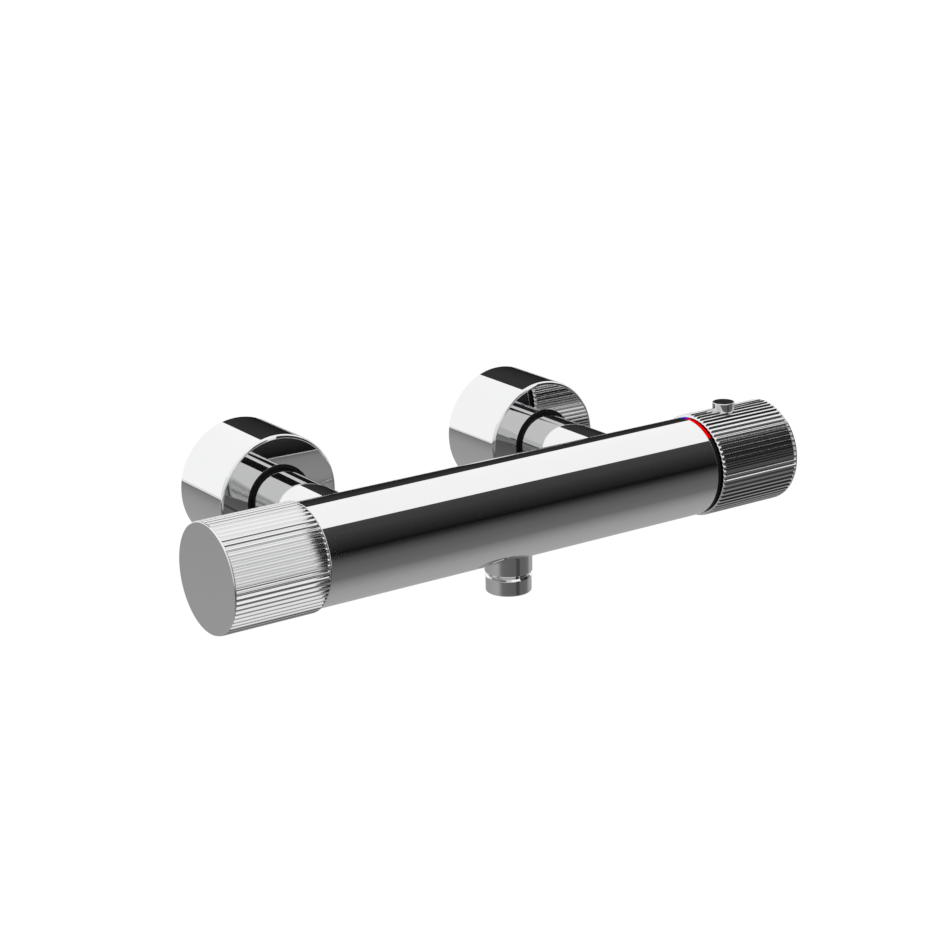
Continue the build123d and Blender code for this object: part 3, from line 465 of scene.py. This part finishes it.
def plastic_finish(name, first, second, rough, grainy, shine=0.5):
    """Moulded plastic: nearly even in colour, with a fine spark-eroded grain."""
    finish = Finish(bpy.data.materials.new(name))
    grain = finish.noise(scale=3200.0, detail=3.0)
    flow = finish.noise(scale=90.0)
    return finish.surface(
        Base_Color=finish.tint(flow, first, second),
        Roughness=rough + grain * 0.1 + flow * 0.05,
        Specular_IOR_Level=shine,
        Normal=finish.bump(grain, strength=grainy, depth=0.00003))


BLACK_PLASTIC = plastic_finish("black_plastic", DEEP_BLACK, SOFT_BLACK, rough=0.4, grainy=0.15, shine=0.1)
RED_PLASTIC = plastic_finish("red_plastic", (0.9, 0.0, 0.0), (0.98, 0.0, 0.0),
                             rough=0.45, grainy=0.05, shine=0.0)
BLUE_PLASTIC = plastic_finish("blue_plastic", (0.0, 0.0, 0.86), (0.0, 0.0, 0.95),
                              rough=0.45, grainy=0.05, shine=0.0)


def scale_part(start_deg, span_deg):
    """A piece of the ring, from an angle onwards through its span. Spin turns clockwise about its axis."""
    bpy.ops.object.select_all(action="DESELECT")
    middle = ((SCALE_RADIUS + SCALE_BORE) / 2, 0, (SCALE_NEAR + SCALE_FAR) / 2)
    bpy.ops.mesh.primitive_plane_add(size=1, location=middle, rotation=(math.radians(90), 0, 0))
    part = bpy.context.object
    part.scale = (SCALE_RADIUS - SCALE_BORE, SCALE_FAR - SCALE_NEAR, 1)
    bpy.ops.object.transform_apply(location=True, rotation=True, scale=True)
    bpy.ops.object.mode_set(mode="EDIT")
    bpy.ops.mesh.select_all(action="SELECT")
    bpy.ops.mesh.spin(steps=round(span_deg / ARC_STEP_DEG), angle=math.radians(span_deg),
                      center=(0, 0, 0), axis=(0, 0, -1))
    bpy.ops.mesh.select_all(action="SELECT")
    bpy.ops.mesh.remove_doubles(threshold=WELD)
    bpy.ops.mesh.normals_make_consistent(inside=False)
    bpy.ops.object.mode_set(mode="OBJECT")
    seat(part, Matrix.Rotation(math.radians(start_deg), 4, "Z"))
    return seat(ease_edges(part, SMALL_EASE, segments=2), TEMPERATURE_SIDE)


fit(scale_part(MARK_SPLIT_DEG + MARK_SPAN_DEG, 360 - 2 * MARK_SPAN_DEG), "scale_black", "fixed_body",
    BLACK_PLASTIC, "scale_ring")
fit(scale_part(MARK_SPLIT_DEG, MARK_SPAN_DEG), "scale_red", "fixed_body", RED_PLASTIC,
    "hot_mark")
fit(scale_part(MARK_SPLIT_DEG - MARK_SPAN_DEG, MARK_SPAN_DEG), "scale_blue", "fixed_body",
    BLUE_PLASTIC, "cold_mark")


# Eccentric unions. Brass connectors whose wall end is 8 mm below their nut end, so that the mixer
# can be levelled. The wall end has a cut half-inch thread.

UNION_DROP = -0.008
UNION_BORE, UNION_CORE, UNION_NUT_END = 0.0075, 0.0093, 0.01322
UNION_WALL, UNION_STRAIGHT, UNION_BLEND, UNION_FRONT = -0.012, 0.002, 0.0095, 0.0181
THREAD_CREST, THREAD_PITCH, THREAD_TURNS = 0.0104775, 0.001814, 6
THREAD_LOW, THREAD_ROOT_WIDTH, THREAD_CREST_WIDTH = -0.0111, 0.00166, 0.00042
THREAD_FACETS, THREAD_WELD = 72, 1e-8
UNION_COLLAR, UNION_EASE = 0.0008, 0.0002


def metal_finish(name, bright, dull, rough, mark_scale):
    """Turned metal left as it comes off the lathe, slightly tarnished, with fine tool marks."""
    finish = Finish(bpy.data.materials.new(name))
    tarnish = finish.noise(scale=70.0, detail=4.0)
    marks = finish.noise(scale=mark_scale)
    return finish.surface(
        Base_Color=finish.tint(tarnish, bright, dull),
        Metallic=1.0,
        Roughness=rough + tarnish * 0.12 + marks * 0.08,
        Normal=finish.bump(marks, strength=0.12, depth=0.00003))


BRASS = metal_finish("turned_brass", (0.76, 0.58, 0.3), (0.62, 0.45, 0.22), rough=0.2, mark_scale=1800.0)


def thread_ridge():
    """The wall end's thread: a ridge with slanting sides, wound round the core."""
    bpy.ops.object.select_all(action="DESELECT")
    middle = ((THREAD_CREST + UNION_CORE) / 2, 0, THREAD_LOW)
    bpy.ops.mesh.primitive_plane_add(size=1, location=middle, rotation=(math.radians(90), 0, 0))
    ridge = bpy.context.object
    ridge.scale = (THREAD_CREST - UNION_CORE + UNION_EASE, THREAD_ROOT_WIDTH, 1)
    bpy.ops.object.transform_apply(location=True, rotation=True, scale=True)
    bpy.ops.object.mode_set(mode="EDIT")
    pick(ridge, lambda co: co.x > middle[0])
    narrowing = THREAD_CREST_WIDTH / THREAD_ROOT_WIDTH
    bpy.ops.transform.resize(value=(1, 1, narrowing), center_override=middle)
    bpy.ops.mesh.select_all(action="SELECT")
    bpy.ops.mesh.delete(type="ONLY_FACE")
    bpy.ops.object.mode_set(mode="OBJECT")
    use_modifier(ridge, "SCREW", angle=math.radians(360), screw_offset=THREAD_PITCH,
                 iterations=THREAD_TURNS, steps=THREAD_FACETS, render_steps=THREAD_FACETS,
                 use_merge_vertices=False)
    bpy.ops.object.mode_set(mode="EDIT")
    bpy.ops.mesh.select_all(action="DESELECT")
    bpy.ops.mesh.select_mode(type="EDGE")
    bpy.ops.mesh.select_non_manifold()
    bpy.ops.mesh.edge_face_add()
    bpy.ops.mesh.select_mode(type="VERT")
    bpy.ops.mesh.select_all(action="SELECT")
    bpy.ops.mesh.remove_doubles(threshold=THREAD_WELD)
    bpy.ops.mesh.normals_make_consistent(inside=False)
    bpy.ops.object.mode_set(mode="OBJECT")
    bpy.ops.object.shade_smooth_by_angle(angle=SHARP_CORNER)
    return seat(ridge, Matrix.Translation((0, UNION_DROP, 0)))


union = ease_edges(turned([
    (UNION_BORE, UNION_WALL, UNION_DROP), (UNION_CORE, UNION_WALL, UNION_DROP),
    (UNION_CORE, UNION_STRAIGHT - UNION_COLLAR, UNION_DROP),
    (THREAD_CREST, UNION_STRAIGHT - UNION_COLLAR, UNION_DROP),
    (THREAD_CREST, UNION_STRAIGHT, UNION_DROP), (UNION_NUT_END, UNION_BLEND), (UNION_NUT_END, UNION_FRONT),
    (UNION_BORE, UNION_FRONT), (UNION_BORE, UNION_BLEND), (UNION_BORE, UNION_STRAIGHT, UNION_DROP),
    (UNION_BORE, UNION_WALL, UNION_DROP)]), UNION_EASE)
thread = thread_ridge()
bpy.ops.object.select_all(action="DESELECT")
thread.select_set(True)
union.select_set(True)
bpy.context.view_layer.objects.active = union
bpy.ops.object.join()
on_both_inlets(union, "union", "fixed_body", BRASS, "eccentric_union")


# Union nuts. Hexagon nuts of brass with chamfered corners, which pull the tail pieces against the
# unions' faces.

NUT_HALF_FLATS, NUT_BACK, NUT_FRONT = 0.015, 0.01, 0.0262
NUT_BORE, NUT_LIP_BORE, NUT_LIP_START = 0.01332, 0.0101, 0.0236
NUT_CHAMFER_RADIUS, NUT_CHAMFER, NUT_SLANT = 0.0143, 0.0017, math.radians(30)
NUT_OVERRUN = 0.002
NUT_SIDES = 6

bpy.ops.object.select_all(action="DESELECT")
bpy.ops.mesh.primitive_cylinder_add(
    vertices=NUT_SIDES, radius=NUT_HALF_FLATS / math.cos(math.pi / NUT_SIDES),
    depth=NUT_FRONT - NUT_BACK, location=(0, 0, (NUT_BACK + NUT_FRONT) / 2))
nut = bpy.context.object
bpy.ops.object.transform_apply(location=True, rotation=True, scale=True)
nut_corner = NUT_CHAMFER_RADIUS + NUT_CHAMFER / math.tan(NUT_SLANT)
cut(nut, turned([
    (NUT_CHAMFER_RADIUS, NUT_BACK), (nut_corner, NUT_BACK + NUT_CHAMFER),
    (nut_corner, NUT_FRONT - NUT_CHAMFER), (NUT_CHAMFER_RADIUS, NUT_FRONT)], capped=True), "INTERSECT")
cut(nut, turned([
    (NUT_BORE, NUT_BACK - NUT_OVERRUN), (NUT_BORE, NUT_LIP_START), (NUT_LIP_BORE, NUT_LIP_START),
    (NUT_LIP_BORE, NUT_FRONT + NUT_OVERRUN)], capped=True))
bpy.ops.object.shade_smooth_by_angle(angle=SHARP_CORNER)
on_both_inlets(nut, "nut", "fixed_body", BRASS, "union_nut")


# Water body, valve housing, cartridge cap and tail pieces. Turned and bored brass inside the casing
# and the cups, which keeps its solids' shape.

def dress(finish, *nodes):
    """Gives carried-over solids their finish."""
    for node in nodes:
        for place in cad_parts[node].material_slots:
            place.material = finish


dress(BRASS, "water_body", "tail_piece_hot", "tail_piece_cold", "valve_housing", "flow_spindle",
      "regulating_spindle", "cartridge_cap")


# Stop rings. Black plastic rings behind the knobs, whose lugs end each knob's turn. The right one
# shows as the dark gap beside the scale.

dress(BLACK_PLASTIC, "temperature_stop_ring", "flow_stop_ring")


# Knob hubs, wax element, shuttle, pusher and cartridge sleeve. Moulded in grey plastic, apart from
# the copper wax element, and hidden in the knobs and the bar.

HUB_PLASTIC = plastic_finish("hub_plastic", (0.52, 0.53, 0.54), (0.6, 0.61, 0.62), rough=0.42, grainy=0.2)
CARTRIDGE_PLASTIC = plastic_finish("cartridge_plastic", (0.24, 0.25, 0.26), (0.31, 0.32, 0.33),
                                   rough=0.4, grainy=0.2)
COPPER = metal_finish("drawn_copper_alloy", (0.78, 0.47, 0.3), (0.62, 0.36, 0.22),
                      rough=0.24, mark_scale=1200.0)

dress(HUB_PLASTIC, "flow_knob_hub", "temperature_knob_hub")
dress(CARTRIDGE_PLASTIC, "cartridge_sleeve", "regulating_shuttle", "pusher_nut")
dress(COPPER, "wax_element")


# Check valves, screws and strainers. White plastic cages and poppets in the necks, and stainless
# steel screws and dirt strainers.

WHITE_PLASTIC = plastic_finish("white_plastic", (0.8, 0.8, 0.78), (0.85, 0.85, 0.83),
                               rough=0.38, grainy=0.15)
STEEL = metal_finish("stainless_steel", (0.63, 0.62, 0.6), (0.52, 0.51, 0.5), rough=0.24, mark_scale=2400.0)

for side in INLETS:
    dress(WHITE_PLASTIC, f"check_cage_{side}", f"check_poppet_{side}")
    dress(STEEL, f"strainer_{side}")
dress(STEEL, "flow_knob_screw", "temperature_knob_screw")


# Springs. Open coils of round stainless wire. One end stays where it is, and the joint's piece
# presses the other end in.

COIL_STEPS, WIRE_FACETS, WIRE_CREASE = 32, 12, math.radians(60)
BUTTON_SPRING_FLOOR, RETURN_SPRING_START, CHECK_SPRING_FRONT = 0.0276, 0.0485, -0.0531


def spring(node, body, anchor, along, radius, wire, length, turns):
    """Winds a spring from its fixed end, along an axis, and hangs it on the body that carries it."""
    steps = round(COIL_STEPS * turns)
    bpy.ops.object.select_all(action="DESELECT")
    bpy.ops.mesh.primitive_circle_add(vertices=WIRE_FACETS, radius=wire, location=(radius, 0, wire),
                                      rotation=(math.radians(90), 0, 0))
    coil = bpy.context.object
    bpy.ops.object.transform_apply()
    use_modifier(coil, "SCREW", axis="Z", angle=turns * math.tau, screw_offset=length - 2 * wire,
                 steps=steps, render_steps=steps)
    bpy.ops.object.mode_set(mode="EDIT")
    bpy.ops.mesh.select_all(action="SELECT")
    bpy.ops.mesh.fill_holes(sides=WIRE_FACETS)
    bpy.ops.mesh.select_all(action="SELECT")
    bpy.ops.mesh.normals_make_consistent(inside=False)
    bpy.ops.object.mode_set(mode="OBJECT")
    bpy.ops.object.shade_smooth_by_angle(angle=WIRE_CREASE)
    turn = Vector((0, 0, 1)).rotation_difference(Vector(along)).to_matrix().to_4x4()
    seat(coil, Matrix.Translation(anchor) @ turn)
    fit(coil, f"{node}_coil", body, STEEL, node)
    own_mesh(coil)


spring("button_spring", "temperature_knob_body",
       anchor=(BUTTON_PLACE, BAR_OUT, BUTTON_SPRING_FLOOR), along=(0, 0, 1),
       radius=0.00307, wire=0.0003, length=0.0074, turns=4)
spring("return_spring", "fixed_body",
       anchor=(RETURN_SPRING_START, BAR_OUT, BAR_RISE), along=(1, 0, 0),
       radius=0.00693, wire=0.0007, length=0.01545, turns=4.5)
for side, across in INLETS.items():
    spring(f"check_spring_{side}", "fixed_body",
           anchor=(across, CHECK_SPRING_FRONT, BAR_RISE), along=(0, 1, 0),
           radius=0.0032, wire=0.00035, length=0.007, turns=4)


# Seals and ceramic discs. Black rubber O-rings and washers, and two lapped white ceramic discs that
# shut the flow off.

SEAL_RUBBER = rubber_finish("seal_rubber", (0.018, 0.018, 0.018), (0.03, 0.03, 0.031), rough=0.45)


def ceramic_finish():
    """Lapped alumina: white, very fine and a little warm."""
    finish = Finish(bpy.data.materials.new("lapped_ceramic"))
    speckle = finish.noise(scale=5200.0)
    return finish.surface(
        Base_Color=finish.tint(speckle, first=(0.83, 0.82, 0.79), second=(0.89, 0.88, 0.86)),
        Roughness=0.2 + speckle * 0.12)


dress(SEAL_RUBBER, "neck_seals", "outlet_seal", "cartridge_seals", "valve_seals", "disc_seal",
      "sealing_washer_hot", "sealing_washer_cold")
dress(ceramic_finish(), "fixed_ceramic_disc", "turning_ceramic_disc")


# Studio. A pale floor far below, a soft lamp overhead, and screens that only the metal sees: white
# ones in front, behind and above, and grey flags that draw the long dark bands of the photograph.

FLOOR_HEIGHT, FLOOR_SIZE = -1.1, 60.0
FLOOR_WHITE, FLOOR_PAINT, FLOOR_PAINT_SHARE = 1.05, (0.85, 0.85, 0.85, 1), 0.1
AIR_GLOW, AIR_SEEN = 0.7, 0.3
STUDIO_REACH, STUDIO_FOOT = 22.0, -1
FRONT_WALL, WALL_TOP = 4.2, 11.0
JOINT_PLACE, JOINT_VIEW = -0.1056, 0.5347
WALL_STEPS = (STUDIO_FOOT, 0, 0.8, 1.6, 2.4, 3.4, 4.4, 5.8, 7.3, 9, WALL_TOP)
WALL_GLOW = [(-0.99, 0.126), (-0.39, 0.092), (0.2, 0.038), (0.79, 0.008), (1.42, 0.02), (2.9, 0.038),
             (5.1, 0.062), (9.75, 0.074), (WALL_TOP, 0.074)]
RIM_LEFT, RIM_RIGHT, RIM_OUT, RIM_LOW, RIM_TOP = 0.25, 1.6, -3.9, -0.97, 3.0
RIM_FLOOR_OUT_LEFT, RIM_FLOOR_NEAR, RIM_FLOOR_LEFT, RIM_FLOOR_RIGHT = 0.15, -1.4, 0.05, 0.45
RIM_FLAG_GLOW, RIM_FLOOR_GLOW = 0.012, 0.08
FLOOR_FLAG_BACK = 6.7
FLOOR_GLOW = [(-FRONT_WALL, 0.126), (-2.56, 0.157), (-1.78, 0.172), (-1.0, 0.2), (-0.55, 0.343),
              (-0.23, 0.435), (0.1, 0.475), (0.6, 0.47), (2.4, 0.42), (4.0, 0.34), (FLOOR_FLAG_BACK, 0.24)]
SOFTBOX_GLOW, FRONT_GLOW = 1.3, 1.1
SOFTBOX_HEIGHT, SOFTBOX_BACK = 12.0, 9.0
BACK_FLAG_OUT, BACK_FLAG_LEFT, BACK_FLAG_RIGHT, BACK_FLAG_FOOT, BACK_FLAG_TOP = 6.0, 1.8, 8.34, -0.7, 8.1
BACK_FLAG_GLOW = [(BACK_FLAG_FOOT, 0.01), (0.0, 0.014), (3.5, 0.044), (BACK_FLAG_TOP, 0.056)]
LAMP_PLACE, LAMP_TILT, LAMP_SIZE, LAMP_POWER = (-0.4, -0.9, 1.6), math.radians(30), (1.6, 1.2), 12


def ramp(finish, axis, stops):
    """A number that follows a coordinate, measured from the bar, through (coordinate, number) stops."""
    low, high = stops[0][0], stops[-1][0]
    place = finish.node("ShaderNodeSeparateXYZ", (), {0: finish.place()}, axis)
    share = (place - BAR.translation["XYZ".index(axis)] - low) / (high - low)
    node = finish.node("ShaderNodeValToRGB", (), {"Fac": share})
    elements = node.socket.node.color_ramp.elements
    for stop, _ in stops[1:-1]:
        elements.new((stop - low) / (high - low))
    for element, (stop, number) in zip(elements, stops):
        element.position = (stop - low) / (high - low)
        element.color = (number, number, number, 1)
    return node


def screen(name, corners, glow, axis=None):
    """A flat four-cornered screen that only the metal sees. Its glow is even, or has stops along an axis.

    Each corner of the plane is picked where it was made, at 1 or -1, and moved to its place."""
    bpy.ops.object.select_all(action="DESELECT")
    bpy.ops.mesh.primitive_plane_add(size=2, location=(0, 0, 0))
    piece = bpy.context.object
    bpy.ops.object.mode_set(mode="EDIT")
    for start, corner in zip(((-1, -1), (1, -1), (1, 1), (-1, 1)), corners):
        pick(piece, lambda co: (round(co.x), round(co.y)) == start and co.z == 0 and abs(co.x) == 1)
        bpy.ops.transform.translate(value=Vector(corner) + BAR.translation - Vector((*start, 0)))
    bpy.ops.object.mode_set(mode="OBJECT")
    piece.name = name
    finish = Finish(bpy.data.materials.new(name))
    strength = ramp(finish, axis, glow) if axis else glow
    shader = finish.node("ShaderNodeEmission", (), {"Strength": strength})
    finish.node("ShaderNodeOutputMaterial", (), {"Surface": shader})
    piece.data.materials.append(finish.owner)
    for kind in ("camera", "diffuse", "shadow"):
        setattr(piece, f"visible_{kind}", False)


def upright(left, right, out, low, high):
    """The corners of an upright screen that faces the bar."""
    return [(left, out, low), (right, out, low), (right, out, high), (left, out, high)]


def level(front, back, height):
    """The corners of a level screen as wide as the studio."""
    return [(-STUDIO_REACH, front, height), (STUDIO_REACH, front, height),
            (STUDIO_REACH, back, height), (-STUDIO_REACH, back, height)]


def seen(finish):
    """Is 1 for rays from the camera, from a reflection or through glass, and 0 for the others."""
    first = finish.node("ShaderNodeLightPath", output="Is Camera Ray")
    second = finish.node("ShaderNodeLightPath", output="Is Glossy Ray")
    return first + second + finish.node("ShaderNodeLightPath", output="Is Transmission Ray")


# The front flag's left edge runs where the photograph's eye sees it in the joint of bar and left knob.
wall_edge = [(height, JOINT_PLACE + JOINT_VIEW * math.hypot(FRONT_WALL, height)) for height in WALL_STEPS]
for (low, foot), (high, head) in zip(wall_edge, wall_edge[1:]):
    screen(f"front_flag_{high}", [(foot, -FRONT_WALL, low), (STUDIO_REACH, -FRONT_WALL, low),
                                  (STUDIO_REACH, -FRONT_WALL, high), (head, -FRONT_WALL, high)],
           WALL_GLOW, "Z")
screen("rim_flag", upright(RIM_LEFT, RIM_RIGHT, RIM_OUT, RIM_LOW, RIM_TOP), RIM_FLAG_GLOW)
screen("rim_floor_flag", [(RIM_FLOOR_OUT_LEFT, RIM_OUT, RIM_LOW), (RIM_RIGHT, RIM_OUT, RIM_LOW),
                          (RIM_FLOOR_RIGHT, RIM_FLOOR_NEAR, RIM_LOW),
                          (RIM_FLOOR_LEFT, RIM_FLOOR_NEAR, RIM_LOW)], RIM_FLOOR_GLOW)
screen("floor_flag", level(-FRONT_WALL, FLOOR_FLAG_BACK, STUDIO_FOOT), FLOOR_GLOW, "Y")
screen("overhead_softbox", level(-SOFTBOX_BACK, SOFTBOX_BACK, SOFTBOX_HEIGHT), SOFTBOX_GLOW)
screen("back_softbox", upright(-STUDIO_REACH, STUDIO_REACH, SOFTBOX_BACK, STUDIO_FOOT, SOFTBOX_HEIGHT),
       SOFTBOX_GLOW)
screen("front_softbox", upright(-STUDIO_REACH, STUDIO_REACH, -SOFTBOX_BACK, STUDIO_FOOT, SOFTBOX_HEIGHT),
       FRONT_GLOW)
screen("back_flag", [(BACK_FLAG_LEFT, BACK_FLAG_OUT, BACK_FLAG_FOOT),
                     (BACK_FLAG_RIGHT, BACK_FLAG_OUT, BACK_FLAG_FOOT),
                     (BACK_FLAG_RIGHT, BACK_FLAG_OUT, 0), (BACK_FLAG_LEFT, BACK_FLAG_OUT, BACK_FLAG_TOP)],
       BACK_FLAG_GLOW, "Z")

bpy.ops.object.select_all(action="DESELECT")
bpy.ops.mesh.primitive_plane_add(size=FLOOR_SIZE, location=(0, 0, FLOOR_HEIGHT))
floor = bpy.context.object
floor.name = "floor"
pale = Finish(bpy.data.materials.new("pale_floor"))
white = pale.node("ShaderNodeEmission", (), {"Strength": seen(pale) * FLOOR_WHITE})
paint = pale.node("ShaderNodeBsdfDiffuse", (), {"Color": FLOOR_PAINT})
mixed = pale.node("ShaderNodeMixShader", (), {0: FLOOR_PAINT_SHARE, 1: white, 2: paint})
pale.node("ShaderNodeOutputMaterial", (), {"Surface": mixed})
floor.data.materials.append(pale.owner)

air = Finish(bpy.data.worlds.new("studio_light"))
light = {"Color": (1, 1, 1, 1), "Strength": AIR_GLOW + seen(air) * AIR_SEEN}
air.node("ShaderNodeOutputWorld", (), {"Surface": air.node("ShaderNodeBackground", (), light)})
bpy.context.scene.world = air.owner

bpy.ops.object.light_add(type="AREA", location=LAMP_PLACE, rotation=(LAMP_TILT, 0, 0))
lamp = bpy.context.object
lamp.data.shape = "RECTANGLE"
lamp.data.size, lamp.data.size_y = LAMP_SIZE
lamp.data.energy = LAMP_POWER
lamp.visible_glossy = False


# Camera. It stands where the photograph was taken from, in front, to the left and above.

EYE = (-0.55664, -0.89624, 0.3238)
AZIMUTH_DEG, ELEVATION_DEG, ROLL_DEG = -34.404, 17.2, -1.02
LENS, CAMERA_REACH = 86.15, 200

camera = bpy.data.objects.new("camera", bpy.data.cameras.new("camera"))
camera.data.lens = LENS
camera.data.clip_end = CAMERA_REACH
bpy.context.scene.collection.objects.link(camera)
camera.matrix_world = (Matrix.Translation(EYE) @ Matrix.Rotation(math.radians(AZIMUTH_DEG), 4, "Z")
                       @ Matrix.Rotation(math.radians(90 - ELEVATION_DEG), 4, "X")
                       @ Matrix.Rotation(math.radians(ROLL_DEG), 4, "Z"))
bpy.context.scene.camera = camera
bpy.context.scene.view_settings.view_transform = "Standard"
